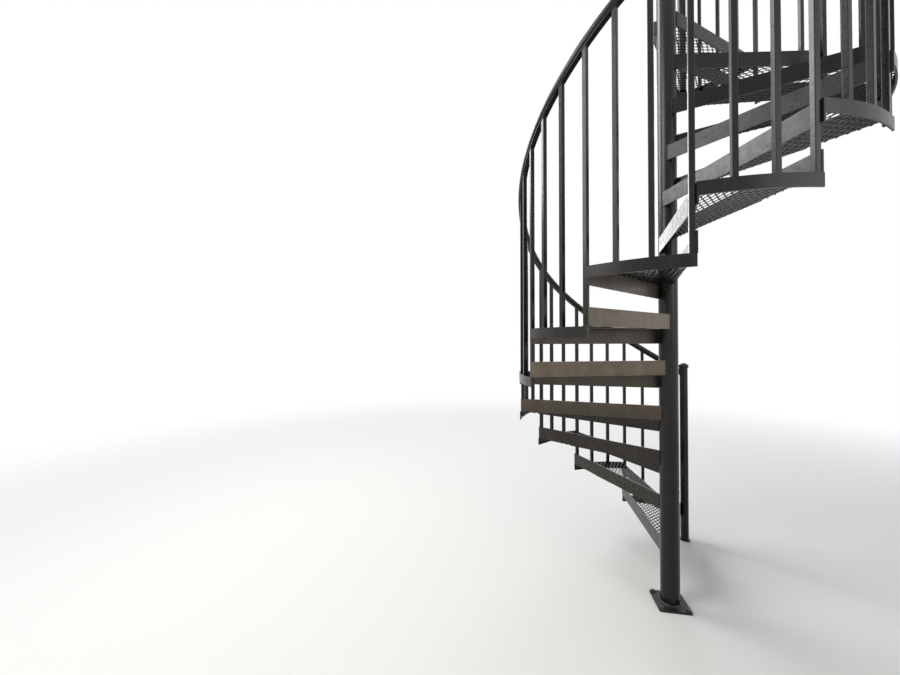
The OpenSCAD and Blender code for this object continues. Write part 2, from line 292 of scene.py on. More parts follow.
def between(tree, value, low, high, start=0.0, end=1.0):
    """Turns low to high into start to end, and holds still outside."""
    inputs = {"Value": value, "From Min": low, "From Max": high, "To Min": start, "To Max": end}
    return put(tree, "ShaderNodeMapRange", inputs).outputs["Result"]


def tinted(tree, share, under, over):
    """Lays one colour over another; 0, 6 and 7 are the share and the two colours."""
    inputs = {0: share, 6: under, 7: over}
    return put(tree, "ShaderNodeMix", inputs, data_type="RGBA").outputs[2]


print("paint helpers ready")

# %% [markdown]
# ### Dust, streaks and chips
# Dust lies in patches where a face looks up. Streaks are noise that is squeezed sideways
# and drawn out downwards, and they show only on upright faces. Chips are the few highest
# peaks of a fine noise, kept to the places where a coarse noise says that hands and shoes
# rub.

# %% Dust, streaks and chips
STREAK_SCALE = (55, 55, 2.2)


def dust_mask(tree, where, upward, dust):
    patches = between(tree, noise(tree, where, scale=22, detail=6, rough=0.65), low=0.38, high=0.68)
    settled = maths(tree, "MULTIPLY", between(tree, upward, low=0.35, high=0.95), patches)
    return maths(tree, "MULTIPLY", settled, dust)


def streak_mask(tree, where, upward, streaks):
    stretched = put(tree, "ShaderNodeMapping", {"Vector": where, "Scale": STREAK_SCALE}).outputs[0]
    runs = between(tree, noise(tree, stretched, scale=1.0, detail=3), low=0.55, high=0.8, end=streaks)
    upright = maths(tree, "SUBTRACT", 1.0, maths(tree, "ABSOLUTE", upward))
    return maths(tree, "MULTIPLY", runs, upright)


def chip_mask(tree, where, chips):
    spots = between(tree, noise(tree, where, scale=170, detail=3, rough=0.6), low=0.69, high=0.72)
    rubbed = between(tree, noise(tree, where, scale=7, detail=2), low=0.52, high=0.66, end=chips)
    return maths(tree, "MULTIPLY", spots, rubbed)


print("streaks are", round(STREAK_SCALE[0] / STREAK_SCALE[2]), "times as long as wide")

# %% [markdown]
# ### Painted bounce light
# A pale tint is painted on the faces that look up the stair. It is painted light, standing
# for the light bounced onto them. That direction is square to the line from the column, so it
# comes from a cross product with the vertical. The tint is full on the rear bars, which stand
# on their treads, and half as strong on the front bars, which hang below the sheet: that is
# painted shade. It is faint on the lowest treads, and thins out again higher up.

# %% Painted bounce light
HAIR = 0.0003
REAR_BAR_BAND = 0.08
SHADED_FRONT_BAR_SHARE = 0.5
FAINT_BOUNCE_SHARE = 0.55


# Painted light: a pale tint on faces that look up the stair stands for light bounced onto them.
def painted_bounce_mask(tree, where, facing, painted_bounce_strength):
    """How much painted bounce light shows, from the height, the facing and the place on the bar."""
    around = put(tree, "ShaderNodeVectorMath", {0: (0, 0, 1), 1: where}, operation="CROSS_PRODUCT")
    uphill = put(tree, "ShaderNodeVectorMath", {0: around.outputs[0]}, operation="NORMALIZE")
    faces_uphill = put(tree, "ShaderNodeVectorMath", {0: facing, 1: uphill.outputs[0]},
                       operation="DOT_PRODUCT").outputs["Value"]
    height = put(tree, "ShaderNodeSeparateXYZ", {0: where}).outputs["Z"]
    above_tread = maths(tree, "FLOORED_MODULO", maths(tree, "ADD", height, HAIR), RISE)
    on_rear_bar = maths(tree, "LESS_THAN", above_tread, REAR_BAR_BAND)
    # Half as much painted bounce light on the front bars: painted shade under the sheet.
    bar_share = maths(tree, "MULTIPLY_ADD", on_rear_bar, 1 - SHADED_FRONT_BAR_SHARE, SHADED_FRONT_BAR_SHARE)
    painted_bounce = maths(tree, "MULTIPLY", between(tree, faces_uphill, low=0.55, high=0.85), bar_share)
    patchy = between(tree, noise(tree, where, scale=14, detail=5, rough=0.6), low=0.3, high=0.7,
                     start=FAINT_BOUNCE_SHARE * painted_bounce_strength, end=painted_bounce_strength)
    # The painted bounce light is faint low down and thinner high up.
    fainter_below = between(tree, height, low=0.85, high=1.2, start=0.1, end=1.0)
    fainter_above = between(tree, height, low=1.7, high=2.1, start=1.0, end=0.5)
    for share in (patchy, fainter_below, fainter_above):
        painted_bounce = maths(tree, "MULTIPLY", painted_bounce, share)
    return painted_bounce


print("film is full up to", REAR_BAR_BAND, "m above each tread")

# %% [markdown]
# ### Relief of the coat
# Sprayed paint dries with a fine grain, like an orange's skin, over slow waves of the
# steel below, and a chip is a pit with a sharp edge. Three bumps are stacked, each with
# its own depth in metres, so the highlights break up as they do on the real coat.

# %% Relief of the coat
GRAIN = 0.2
GRAIN_DEPTH = 0.0006
WAVE_DEPTH = 0.003
PIT = 0.6
PIT_DEPTH = 0.0008


def relief(tree, where, chipped, waves):
    grain = {"Strength": GRAIN, "Distance": GRAIN_DEPTH,
             "Height": noise(tree, where, scale=620, detail=2, rough=0.5)}
    grained = put(tree, "ShaderNodeBump", grain).outputs[0]
    wave = {"Strength": waves, "Distance": WAVE_DEPTH, "Normal": grained,
            "Height": noise(tree, where, scale=15, detail=2)}
    waved = put(tree, "ShaderNodeBump", wave).outputs[0]
    pit = {"Strength": PIT, "Distance": PIT_DEPTH, "Normal": waved,
           "Height": maths(tree, "SUBTRACT", 1.0, chipped)}
    return put(tree, "ShaderNodeBump", pit).outputs[0]


print("depth of a chip:", PIT_DEPTH, "m")

# %% [markdown]
# ### The whole paint
# One recipe mixes the coat's two blacks and lays each kind of wear over them in the order
# in which it came, with the painted bounce light among them, and lets dust, rust and the
# painted bounce light take away some of the gloss. The shares say how strong each wear and
# the painted light are, so pipes, bars and posts can get slightly different coats.

# %% Paint recipe
DUST = (0.20, 0.185, 0.165, 1)
STREAK = (0.075, 0.066, 0.054, 1)
# Pale tint of the painted bounce light, not of any dirt on the steel.
PAINTED_BOUNCE_TINT = (0.265, 0.210, 0.152, 1)
RUST = (0.15, 0.062, 0.026, 1)
DUST_DULLS = 0.5
CHIPS_DULL = 0.4
PAINTED_BOUNCE_DULLS = 0.15
THIN_COAT = 0.75
THICK_COAT = 1.4


def paint(name, colour, roughness, dust, streaks, chips, waves=0.15, painted_bounce_strength=0.0, ior=1.38):
    material = bpy.data.materials.new(name)
    material.use_nodes = True
    tree = material.node_tree
    surface = tree.nodes["Principled BSDF"]
    where = put(tree, "ShaderNodeTexCoord").outputs["Object"]
    facing = put(tree, "ShaderNodeNewGeometry").outputs["Normal"]
    upward = put(tree, "ShaderNodeSeparateXYZ", {0: facing}).outputs["Z"]
    dusty = dust_mask(tree, where, upward, dust)
    streaky = streak_mask(tree, where, upward, streaks)
    painted_bounce = painted_bounce_mask(tree, where, facing, painted_bounce_strength)
    chipped = chip_mask(tree, where, chips)

    dark = [THIN_COAT * c for c in colour] + [1]
    light = [min(1, THICK_COAT * c) for c in colour] + [1]
    cloud = between(tree, noise(tree, where, scale=3.5, detail=5), low=0.35, high=0.65)
    coat = tinted(tree, cloud, dark, light)
    # The third tint is painted bounce light; the others are dust, streaks and rust.
    for share, over in ((dusty, DUST), (streaky, STREAK), (painted_bounce, PAINTED_BOUNCE_TINT), (chipped, RUST)):
        coat = tinted(tree, share, coat, over)
    tree.links.new(coat, surface.inputs["Base Color"])

    matt = between(tree, noise(tree, where, scale=38, detail=4), low=0.3, high=0.7,
                   start=roughness - 0.05, end=roughness + 0.07)
    for share, dulling in ((dusty, DUST_DULLS), (chipped, CHIPS_DULL), (painted_bounce, PAINTED_BOUNCE_DULLS)):
        matt = maths(tree, "MULTIPLY_ADD", share, dulling, matt)
    tree.links.new(matt, surface.inputs["Roughness"])
    surface.inputs["IOR"].default_value = ior
    tree.links.new(relief(tree, where, chipped, waves), surface.inputs["Normal"])
    return material


BLACK = (0.0074, 0.0064, 0.0058)
column_paint = paint("column_paint", BLACK, 0.24, dust=0.3, streaks=0.2, chips=0.1, waves=0.06)
# The bars also carry the painted bounce light on faces that look up the stair.
bar_paint = paint("bar_paint", BLACK, 0.27, dust=0.4, streaks=0.2, chips=0.4, waves=0.1, painted_bounce_strength=0.85)
post_paint = paint("post_paint", BLACK, 0.23, dust=0.4, streaks=0.1, chips=0.15, waves=0.05)
rail_paint = paint("rail_paint", BLACK, 0.20, dust=0.3, streaks=0.1, chips=0.2, waves=0.05)
plate_paint = paint("plate_paint", BLACK, 0.34, dust=0.3, streaks=0.3, chips=0.5)
mesh_paint = paint("mesh_paint", BLACK, 0.34, dust=0.15, streaks=0.0, chips=0.5, ior=1.22)
print("paints:", [m.name for m in bpy.data.materials if m.name.endswith("_paint")])

# %% [markdown]
# ## Paint on the measured pieces
# The column, posts, bars and caps already have their true shape, so they keep it and only
# change their material. Pipes, flat bars and posts get slightly different coats, because
# hands, shoes and rain reach them differently.

# %% Paint the measured pieces
COATS = {
    "base_plate": plate_paint,
    "column": column_paint,
    "newel": column_paint,
    "top_newel": column_paint,
    "tread": bar_paint,
    "landing_frame": bar_paint,
    "balusters": post_paint,
    "landing_balusters": post_paint,
}
painted = []
for name, node in nodes.items():
    coat = next((COATS[start] for start in COATS if name.startswith(start)), None)
    if coat:
        painted.append(name)
        for place in node.material_slots:
            place.material = coat
print("painted nodes:", len(painted))

# %% [markdown]
# ## Running a Geometry Nodes tree
# A tree is built once, with named inputs for its sizes. It is put on an object as a
# modifier, its inputs are set by their identifiers, and the evaluated result is kept as a
# plain mesh. The modifier and its object are then thrown away, so what is left is an
# ordinary piece at the origin.


# %% Helpers for Geometry Nodes
def new_tree(name, **inputs):
    """A tree with named inputs, its group inputs, and maths tied to the tree."""
    tree = bpy.data.node_groups.new(name, "GeometryNodeTree")
    sockets = tree.interface
    sockets.new_socket("Geometry", in_out="INPUT", socket_type="NodeSocketGeometry")
    for label, kind in inputs.items():
        socket_type = "NodeSocket" + kind
        sockets.new_socket(label.replace("_", " "), in_out="INPUT", socket_type=socket_type)
    sockets.new_socket("Geometry", in_out="OUTPUT", socket_type="NodeSocketGeometry")
    return tree, tree.nodes.new("NodeGroupInput").outputs, partial(maths, tree)


def end_tree(tree, geometry, material):
    real = put(tree, "GeometryNodeRealizeInstances", {0: geometry})
    dressed = put(tree, "GeometryNodeSetMaterial", {0: real.outputs[0], "Material": material})
    put(tree, "NodeGroupOutput", {0: dressed.outputs[0]})


def grown(name, tree, mesh=None, **values):
    """Runs the tree on a mesh and returns the result as a plain mesh."""
    seed = bpy.data.objects.new("seed", mesh or bpy.data.meshes.new("seed"))
    bpy.context.scene.collection.objects.link(seed)
    modifier = seed.modifiers.new("tree", "NODES")
    modifier.node_group = tree
    for socket in tree.interface.items_tree:
        label = socket.name.replace(" ", "_")
        if socket.in_out == "INPUT" and label in values:
            modifier[socket.identifier] = values[label]
    made = seed.evaluated_get(bpy.context.evaluated_depsgraph_get())
    data = bpy.data.meshes.new_from_object(made)
    data.name = name
    seed.modifiers.clear()
    bpy.data.objects.remove(seed)
    return data


def piece(name, data, slot, *stands_for):
    """A finished piece: it rides on the stair and may stand for measured nodes."""
    made = bpy.data.objects.new(name, data)
    bpy.context.scene.collection.objects.link(made)
    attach(made, "root")
    if stands_for:
        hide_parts(*stands_for)


print("Geometry Nodes helpers ready")

# %% [markdown]
# ## Handrail
# The rail is a round tube with a flat bar under it, rolled to a helix that follows the
# pitch of the treads and bends level over the landing. It could be a spiral curve with a
# bevel, but the bend at the top needs its own rule, so Geometry Nodes places the points
# of a line by that rule. The bend is a parabola: the slope falls evenly to nothing, from
# one end of the bend to the other.

# %% Line of the handrail
RAIL_BEND = 7.0
RAIL_HEIGHT = 0.896
RAIL_GRADE = RISE / TURN
RAIL_LEVEL = LANDING_Z + RAIL_HEIGHT

rail_tree, rail_in, in_rail = new_tree(
    "handrail", Points="Int", First="Float", Step="Float", Radius="Float", Level="Float",
    Grade="Float", Bend_at="Float", Bend="Float", Tube="Float", Bar_width="Float",
    Bar_thickness="Float", Bar_drop="Float", Paint="Material")
line = put(rail_tree, "GeometryNodeMeshLine", {"Count": rail_in["Points"]})
point_no = put(rail_tree, "GeometryNodeInputIndex").outputs[0]
turn = in_rail("MULTIPLY_ADD", point_no, rail_in["Step"], rail_in["First"])
angle = in_rail("RADIANS", turn)
along = in_rail("DIVIDE", in_rail("SUBTRACT", turn, rail_in["Bend at"]), rail_in["Bend"])
clamped = put(rail_tree, "ShaderNodeClamp", {0: along, 1: -1.0, 2: 1.0}).outputs[0]
fall = in_rail("MULTIPLY", rail_in["Grade"], rail_in["Bend"])
left = in_rail("SUBTRACT", 1.0, clamped)
curved = in_rail("DIVIDE", in_rail("MULTIPLY", left, left), 4.0)
straight = in_rail("MAXIMUM", in_rail("SUBTRACT", -1.0, along), 0.0)
below = in_rail("MULTIPLY", fall, in_rail("ADD", curved, straight))
point = put(rail_tree, "ShaderNodeCombineXYZ", {
    0: in_rail("MULTIPLY", rail_in["Radius"], in_rail("COSINE", angle)),
    1: in_rail("MULTIPLY", rail_in["Radius"], in_rail("SINE", angle)),
    2: in_rail("SUBTRACT", rail_in["Level"], below),
})
placed = put(rail_tree, "GeometryNodeSetPosition", {0: line.outputs[0], "Position": point.outputs[0]})
path = put(rail_tree, "GeometryNodeMeshToCurve", {0: placed.outputs[0]})
level_path = put(rail_tree, "GeometryNodeSetCurveNormal", {0: path.outputs[0]}, mode="Z_UP")
print("the rail rises", round(RAIL_GRADE * 1000, 2), "mm in each degree")

# %% [markdown]
# A circle swept along that line makes the tube. The flat bar follows the same line, moved
# down square to it, so that the bar stays tight under the tube on the slope as well.

# %% Tube and flat bar of the handrail
RAIL_R = 0.019
RAIL_SIDES = 32
RAIL_BAR_W = 0.025
RAIL_BAR_T = 0.005
BAR_EDGE_R = 0.001
RAIL_CHORD = math.sqrt(RAIL_R ** 2 - (RAIL_BAR_W / 2) ** 2)

ring = put(rail_tree, "GeometryNodeCurvePrimitiveCircle",
           {"Resolution": RAIL_SIDES, "Radius": rail_in["Tube"]})
tube = put(rail_tree, "GeometryNodeCurveToMesh",
           {0: level_path.outputs[0], 1: ring.outputs[0], "Fill Caps": True})
round_tube = put(rail_tree, "GeometryNodeSetShadeSmooth", {0: tube.outputs[0]})

ahead = put(rail_tree, "GeometryNodeInputTangent").outputs[0]
sideways = put(rail_tree, "GeometryNodeInputNormal").outputs[0]
down = put(rail_tree, "ShaderNodeVectorMath", {0: ahead, 1: sideways}, operation="CROSS_PRODUCT")
lowered = put(rail_tree, "ShaderNodeVectorMath", {0: down.outputs[0], "Scale": rail_in["Bar drop"]},
              operation="SCALE")
under = put(rail_tree, "GeometryNodeSetPosition",
            {0: level_path.outputs[0], "Offset": lowered.outputs[0]})
section = put(rail_tree, "GeometryNodeCurvePrimitiveQuadrilateral",
              {"Width": rail_in["Bar width"], "Height": rail_in["Bar thickness"]})
eased = put(rail_tree, "GeometryNodeFilletCurve",
            {0: section.outputs[0], "Radius": BAR_EDGE_R, "Count": 2}, mode="POLY")
flat_bar = put(rail_tree, "GeometryNodeCurveToMesh",
               {0: under.outputs[0], 1: eased.outputs[0], "Fill Caps": True})
both = put(rail_tree, "GeometryNodeJoinGeometry")
for shape in (round_tube, flat_bar):
    rail_tree.links.new(shape.outputs[0], both.inputs[0])
end_tree(rail_tree, both.outputs[0], rail_in["Paint"])
print("handrail tree has", len(rail_tree.nodes), "nodes")

# %% [markdown]
# The rail runs from inside the bottom newel to inside the top one, so both ends are hidden
# in the posts that they are welded to. Each end stops a little short of the post's axis.

# %% Handrail
NEWEL_R = 0.02415
RAIL_POINTS = 320
RAIL_END_TURN = 0.3

newel_side = -FRONT_OFFSET - GAP - NEWEL_R
newel_turn = FIRST_TURN + FRONT_TURN + math.degrees(math.asin(newel_side / POST_R))
top_newel = Vector((math.sqrt((STAIR_R - NEWEL_R) ** 2 - (DECK_FACE - NEWEL_R) ** 2),
                    DECK_FACE - NEWEL_R))
top_newel_turn = 360 + math.degrees(math.atan2(top_newel.y, top_newel.x))
rail_first = newel_turn + RAIL_END_TURN
rail_last = top_newel_turn - RAIL_END_TURN
rail_mesh = grown("handrail", rail_tree, Points=RAIL_POINTS, First=rail_first,
                  Step=(rail_last - rail_first) / (RAIL_POINTS - 1), Radius=POST_R,
                  Level=RAIL_LEVEL, Grade=RAIL_GRADE, Bend_at=LANDING_TURN, Bend=RAIL_BEND,
                  Tube=RAIL_R, Bar_width=RAIL_BAR_W, Bar_thickness=RAIL_BAR_T,
                  Bar_drop=RAIL_CHORD + RAIL_BAR_T / 2, Paint=rail_paint)
rail_nodes = ["handrail_lower", "handrail_middle", "handrail_upper", "landing_rail"]
piece("handrail", rail_mesh, "black_paint", *rail_nodes)
print("handrail faces:", len(rail_mesh.polygons))

# %% [markdown]
# ## Expanded metal
# Expanded metal is one sheet, slit and pulled open. Its strands stay joined at short
# bonds, and the pull tilts them, so the sheet is rough underfoot and looks different from
# each side. A bump or a cut-out picture would look flat from below, where this stair is
# mostly seen, so every strand is modelled.
# The first part of the tree shapes one strand from a block of four by two by two points.
# The two outer slices of the block move to the middles of two neighbouring bonds. The two
# inner ones end the straight stretches along those bonds, and between them the strand
# slopes from one bond to the other.

# %% One strand
STRAND_LAP = 0.0002
INNER_SLICES = 0.3

metal_tree, metal_in, in_metal = new_tree(
    "expanded_metal", Long_pitch="Float", Short_pitch="Float", Strand_width="Float",
    Thickness="Float", Bond="Float", Tilt="Float", Columns="Int", Rows="Int", Start="Vector",
    Cutter="Object", Paint="Material")
block = put(metal_tree, "GeometryNodeMeshCube",
            {"Size": (1, 1, 1), "Vertices X": 4, "Vertices Y": 2, "Vertices Z": 2})
spot = put(metal_tree, "ShaderNodeSeparateXYZ",
           {0: put(metal_tree, "GeometryNodeInputPosition").outputs[0]}).outputs
end_sign = in_metal("SIGN", spot[0])
inner = in_metal("LESS_THAN", in_metal("ABSOLUTE", spot[0]), INNER_SLICES)
cos_tilt = in_metal("COSINE", metal_in["Tilt"])
sin_tilt = in_metal("SINE", metal_in["Tilt"])
half_width = in_metal("MULTIPLY", metal_in["Strand width"], 0.5)
quarter_long = in_metal("MULTIPLY", metal_in["Long pitch"], 0.25)
quarter_short = in_metal("MULTIPLY", metal_in["Short pitch"], 0.25)
bond_length = in_metal("MULTIPLY", inner, metal_in["Bond"])
reach = in_metal("SUBTRACT", in_metal("ADD", quarter_long, STRAND_LAP), bond_length)
wide = in_metal("MULTIPLY", spot[1], metal_in["Strand width"])
thick = in_metal("MULTIPLY", spot[2], metal_in["Thickness"])
half_across = in_metal("MULTIPLY", half_width, cos_tilt)
mid_y = in_metal("SUBTRACT", in_metal("ADD", quarter_short, STRAND_LAP / 2), half_across)
mid_z = in_metal("MULTIPLY", half_width, sin_tilt)
section_y = in_metal("SUBTRACT", in_metal("MULTIPLY", wide, cos_tilt),
                     in_metal("MULTIPLY", thick, sin_tilt))
section_z = in_metal("ADD", in_metal("MULTIPLY", wide, sin_tilt),
                     in_metal("MULTIPLY", thick, cos_tilt))
strand_at = put(metal_tree, "ShaderNodeCombineXYZ", {
    0: in_metal("MULTIPLY_ADD", end_sign, reach, quarter_long),
    1: in_metal("ADD", in_metal("MULTIPLY_ADD", end_sign, mid_y, quarter_short), section_y),
    2: in_metal("SUBTRACT", section_z, in_metal("MULTIPLY", end_sign, mid_z)),
})
strand = put(metal_tree, "GeometryNodeSetPosition",
             {0: block.outputs[0], "Position": strand_at.outputs[0]})
print("strands overlap by", STRAND_LAP, "m at each end")

# %% [markdown]
# The bonds form a staggered lattice: every other row is moved by half a diamond. A grid
# gives the right number of points, and the number of each point says where it belongs.
# Two strands go on every bond, the second one turned over.

# %% Lattice of bonds
lattice = put(metal_tree, "GeometryNodeMeshGrid", {
    "Size X": 1.0, "Size Y": 1.0, "Vertices X": metal_in["Columns"], "Vertices Y": metal_in["Rows"]})
number = put(metal_tree, "GeometryNodeInputIndex").outputs[0]
column_no = in_metal("FLOOR", in_metal("DIVIDE", in_metal("ADD", number, 0.5), metal_in["Rows"]))
row_no = in_metal("SUBTRACT", number, in_metal("MULTIPLY", column_no, metal_in["Rows"]))
odd = in_metal("MODULO", row_no, 2.0)
lattice_at = put(metal_tree, "ShaderNodeCombineXYZ", {
    0: in_metal("MULTIPLY", metal_in["Long pitch"], in_metal("MULTIPLY_ADD", odd, 0.5, column_no)),
    1: in_metal("MULTIPLY", metal_in["Short pitch"], in_metal("MULTIPLY", row_no, 0.5)),
})
started = put(metal_tree, "ShaderNodeVectorMath",
              {0: lattice_at.outputs[0], 1: metal_in["Start"]}, operation="ADD")
bonds = put(metal_tree, "GeometryNodeSetPosition",
            {0: lattice.outputs[0], "Position": started.outputs[0]})
print("nodes up to the lattice:", len(metal_tree.nodes))

# %% [markdown]
# Neighbours overlap by a hair, and the strands that lean one way are united with those
# that lean the other way, so the sheet comes out as one piece of metal. What lies inside
# the cutter is kept. Points that the cut leaves almost on each other are merged.

# %% United and cut sheet
MERGE_WITHIN = 0.00006

sheet = put(metal_tree, "GeometryNodeMeshBoolean", operation="UNION", solver="MANIFOLD")
for half_turn in (0.0, math.pi):
    copies = put(metal_tree, "GeometryNodeInstanceOnPoints", {
        "Points": bonds.outputs[0], "Instance": strand.outputs[0], "Rotation": (half_turn, 0, 0)})
    strands = put(metal_tree, "GeometryNodeRealizeInstances", {0: copies.outputs[0]})
    metal_tree.links.new(strands.outputs[0], sheet.inputs["Mesh 2"])
cutter_shape = put(metal_tree, "GeometryNodeObjectInfo", {"Object": metal_in["Cutter"]})
cut = put(metal_tree, "GeometryNodeMeshBoolean", operation="INTERSECT", solver="MANIFOLD")
for shape in (sheet.outputs["Mesh"], cutter_shape.outputs["Geometry"]):
    metal_tree.links.new(shape, cut.inputs["Mesh 2"])
clean = put(metal_tree, "GeometryNodeMergeByDistance",
            {0: cut.outputs["Mesh"], "Distance": MERGE_WITHIN})
end_tree(metal_tree, clean.outputs[0], metal_in["Paint"])
print("expanded metal tree has", len(metal_tree.nodes), "nodes")

# %% [markdown]
# The cutter is a thin prism with the outline of the sheet: an arc along the rim, a straight
# edge at each bar and a short arc round the column.


# %% Helpers for outlines
def arc(r, start, end, steps):
    return [beside(r, start + (end - start) * i / steps, 0) for i in range(steps + 1)]


def across(r, turn, offset):
    """The azimuth where a bar's line at an offset crosses a circle about the axis."""
    return turn + math.degrees(math.asin(offset / r))


def prism(name, outline, low, high):
    n = len(outline)
    corners = [(p.x, p.y, z) for z in (low, high) for p in outline]
    sides = [(i, (i + 1) % n, n + (i + 1) % n, n + i) for i in range(n)]
    caps = [tuple(reversed(range(n))), tuple(range(n, 2 * n))]
    data = bpy.data.meshes.new(name)
    data.from_pydata(corners, [], sides + caps)
    made = bpy.data.objects.new(name, data)
    bpy.context.scene.collection.objects.link(made)
    return made


print("outline helpers ready")

# %% [markdown]
# All twelve treads share one outline, drawn with the front bar along the X axis. The
# landing's outline is drawn where it belongs and turned back to the same start, so the
# diamonds of both sheets lie along the front bar.

# %% Outlines of the sheets
RIM_STEPS = 40
COLUMN_STEPS = 16
SHEET_OUT_R = RIM_IN_R - GAP
SHEET_IN_R = COLUMN_R + GAP
FRONT_EDGE = -FRONT_OFFSET + BAR_T + GAP
REAR_EDGE = REAR_OFFSET - BAR_T / 2

rear_from_front = REAR_TURN - FRONT_TURN
tread_outline = arc(SHEET_OUT_R, across(SHEET_OUT_R, 0, FRONT_EDGE),
                    across(SHEET_OUT_R, rear_from_front, REAR_EDGE), RIM_STEPS)
tread_outline += arc(SHEET_IN_R, across(SHEET_IN_R, rear_from_front, REAR_EDGE),
                     across(SHEET_IN_R, 0, FRONT_EDGE), COLUMN_STEPS)

landing_front = LANDING_TURN + FRONT_TURN
deck_edge = DECK_FACE - BAR_T - GAP
tie_edge = BAR_T / 2 + GAP
landing_outline = arc(SHEET_OUT_R, across(SHEET_OUT_R, landing_front, FRONT_EDGE),
                      across(SHEET_OUT_R, 360, deck_edge), RIM_STEPS)
landing_outline += [Vector((tie_edge, deck_edge, 0))]
landing_outline += arc(SHEET_IN_R, 360 + math.degrees(math.acos(tie_edge / SHEET_IN_R)),
                       across(SHEET_IN_R, landing_front, FRONT_EDGE), COLUMN_STEPS)
turned_back = Matrix.Rotation(-math.radians(landing_front), 3, "Z")
landing_outline = [turned_back @ p for p in landing_outline]
print("outline points:", len(tread_outline), len(landing_outline))

# %% [markdown]
# The sizes below are those of a common grade of expanded steel whose strands are rolled
# nearly flat. Its diamonds are 51 mm long and 23 mm wide, with strands 4 mm wide. A sheet
# is cut once and then turned and lifted for each tread.

# %% Sheets of expanded metal
SHEET_LOW = -0.0075
LONG_PITCH = 0.0508
STRAND_TILT = math.radians(12)
FIRST_ROW_BEFORE = 0.006
TREAD_ROWS = 40
LANDING_ROWS = 44
SHEET = {
    "Long_pitch": LONG_PITCH, "Short_pitch": 0.0234, "Strand_width": 0.0043,
    "Thickness": 0.0029, "Bond": 0.0045, "Tilt": STRAND_TILT, "Columns": 17, "Paint": mesh_paint,
}
half_height = SHEET["Strand_width"] * math.sin(STRAND_TILT) + SHEET["Thickness"] / 2
sheet_start = (-LONG_PITCH, FRONT_EDGE - FIRST_ROW_BEFORE, -half_height)


def sheet_of(name, outline, rows):
    cutter = prism("cutter", outline, SHEET_LOW, 0.0)
    data = grown(name, metal_tree, Cutter=cutter, Rows=rows, Start=sheet_start, **SHEET)
    bpy.data.objects.remove(cutter)
    return data


tread_sheet = sheet_of("tread_sheet", tread_outline, TREAD_ROWS)
landing_sheet = sheet_of("landing_sheet", landing_outline, LANDING_ROWS)
places = [(f"expanded_metal_{k + 1:02d}", f"mesh_{k + 1:02d}", tread_sheet.copy(),
           post_turn(k) + FRONT_TURN, tread_z(k)) for k in range(TREADS)]
places.append(("expanded_metal_landing", "landing_mesh", landing_sheet, landing_front, LANDING_Z))
for name, node, data, turned, height in places:
    lifted = Matrix.Translation((0, 0, height))
    data.transform(lifted @ Matrix.Rotation(math.radians(turned), 4, "Z"))
    piece(name, data, "mesh_paint", node)
print("faces in a tread's sheet:", len(tread_sheet.polygons), "landing:", len(landing_sheet.polygons))

# %% [markdown]
# ## Weld beads
# Every joint of this stair is welded. A bead is a small ridge with ripples, like a row of
# coins laid on edge. The seams are drawn as plain edges where pieces meet, and one tree
# turns each edge into a tube whose radius swells at a steady pitch. A random share, drawn
# with a fixed seed, keeps the ripples from being all alike.

# %% Weld tree
RANDOM_LOW = 0.86
RANDOM_HIGH = 1.1
RIPPLE_VALLEY = 0.8
RIPPLE_SWELL = 0.28
BEAD_SIDES = 8

weld_tree, weld_in, in_weld = new_tree("weld_beads", Bead="Float", Ripple="Float",
                                       Spacing="Float", Seed="Int", Paint="Material")
seam_curve = put(weld_tree, "GeometryNodeMeshToCurve", {0: weld_in["Geometry"]})
rings = put(weld_tree, "GeometryNodeResampleCurve",
            {0: seam_curve.outputs[0], "Length": weld_in["Spacing"]}, mode="LENGTH")
travel = put(weld_tree, "GeometryNodeSplineParameter").outputs["Length"]
wave_no = in_weld("DIVIDE", travel, weld_in["Ripple"])
swell = in_weld("ABSOLUTE", in_weld("SINE", in_weld("MULTIPLY", wave_no, math.pi)))
random_part = put(weld_tree, "FunctionNodeRandomValue",
                  {2: RANDOM_LOW, 3: RANDOM_HIGH, "Seed": weld_in["Seed"]},
                  data_type="FLOAT").outputs[1]
ripple_size = in_weld("MULTIPLY_ADD", swell, RIPPLE_SWELL, RIPPLE_VALLEY)
bead_size = in_weld("MULTIPLY", in_weld("MULTIPLY", ripple_size, random_part), weld_in["Bead"])
bead_ring = put(weld_tree, "GeometryNodeCurvePrimitiveCircle",
                {"Resolution": BEAD_SIDES, "Radius": 1.0})
bead = put(weld_tree, "GeometryNodeCurveToMesh",
           {0: rings.outputs[0], 1: bead_ring.outputs[0], "Fill Caps": True, "Scale": bead_size})
smooth_bead = put(weld_tree, "GeometryNodeSetShadeSmooth", {0: bead.outputs[0]})
end_tree(weld_tree, smooth_bead.outputs[0], weld_in["Paint"])
print("weld tree has", len(weld_tree.nodes), "nodes")

# %% [markdown]
# Two upright seams hold each bar to the column, one on either side. They are placed by
# their distance along the bar and beside it. The landing has only its front bar here.

# %% Seams at the column
FRONT_WELDS = ((0.0262, -0.0358), (0.0208, -0.0414))
REAR_WELDS = ((0.0414, 0.0193), (0.0372, 0.0284))


def upright_seam(r, turn, t, low, high):
    """The two ends of a seam that runs straight up."""
    return beside(r, turn, t, low), beside(r, turn, t, high)


column_seams = []
for k in range(TREADS + 1):
    turned, height = post_turn(k), tread_z(k)
    for x, y in FRONT_WELDS:
        column_seams.append(upright_seam(x, turned + FRONT_TURN, y, height - BAR_H, height))
    if k < TREADS:
        for x, y in REAR_WELDS:
            column_seams.append(upright_seam(x, turned + REAR_TURN, y, height, height + BAR_H))
print("seams at the column:", len(column_seams))

# %% [markdown]
# Each post has a short upright seam at every edge where it meets a rim, and one along the
# rim's top. The first post of a tread is shared with the tread below it: it stands on that
# one, and is also welded to its rear bar and to the front bar above.

# %% Seams at the posts
POSTS_PER_TREAD = 3
LANDING_POSTS = 3
LANDING_PITCH = (top_newel_turn - LANDING_TURN) / (LANDING_POSTS + 1)
SEAM_OFF = 0.0004
FOOT_SEAM_OFF = 0.0010
BAR_SEAM_OFF = 0.0006

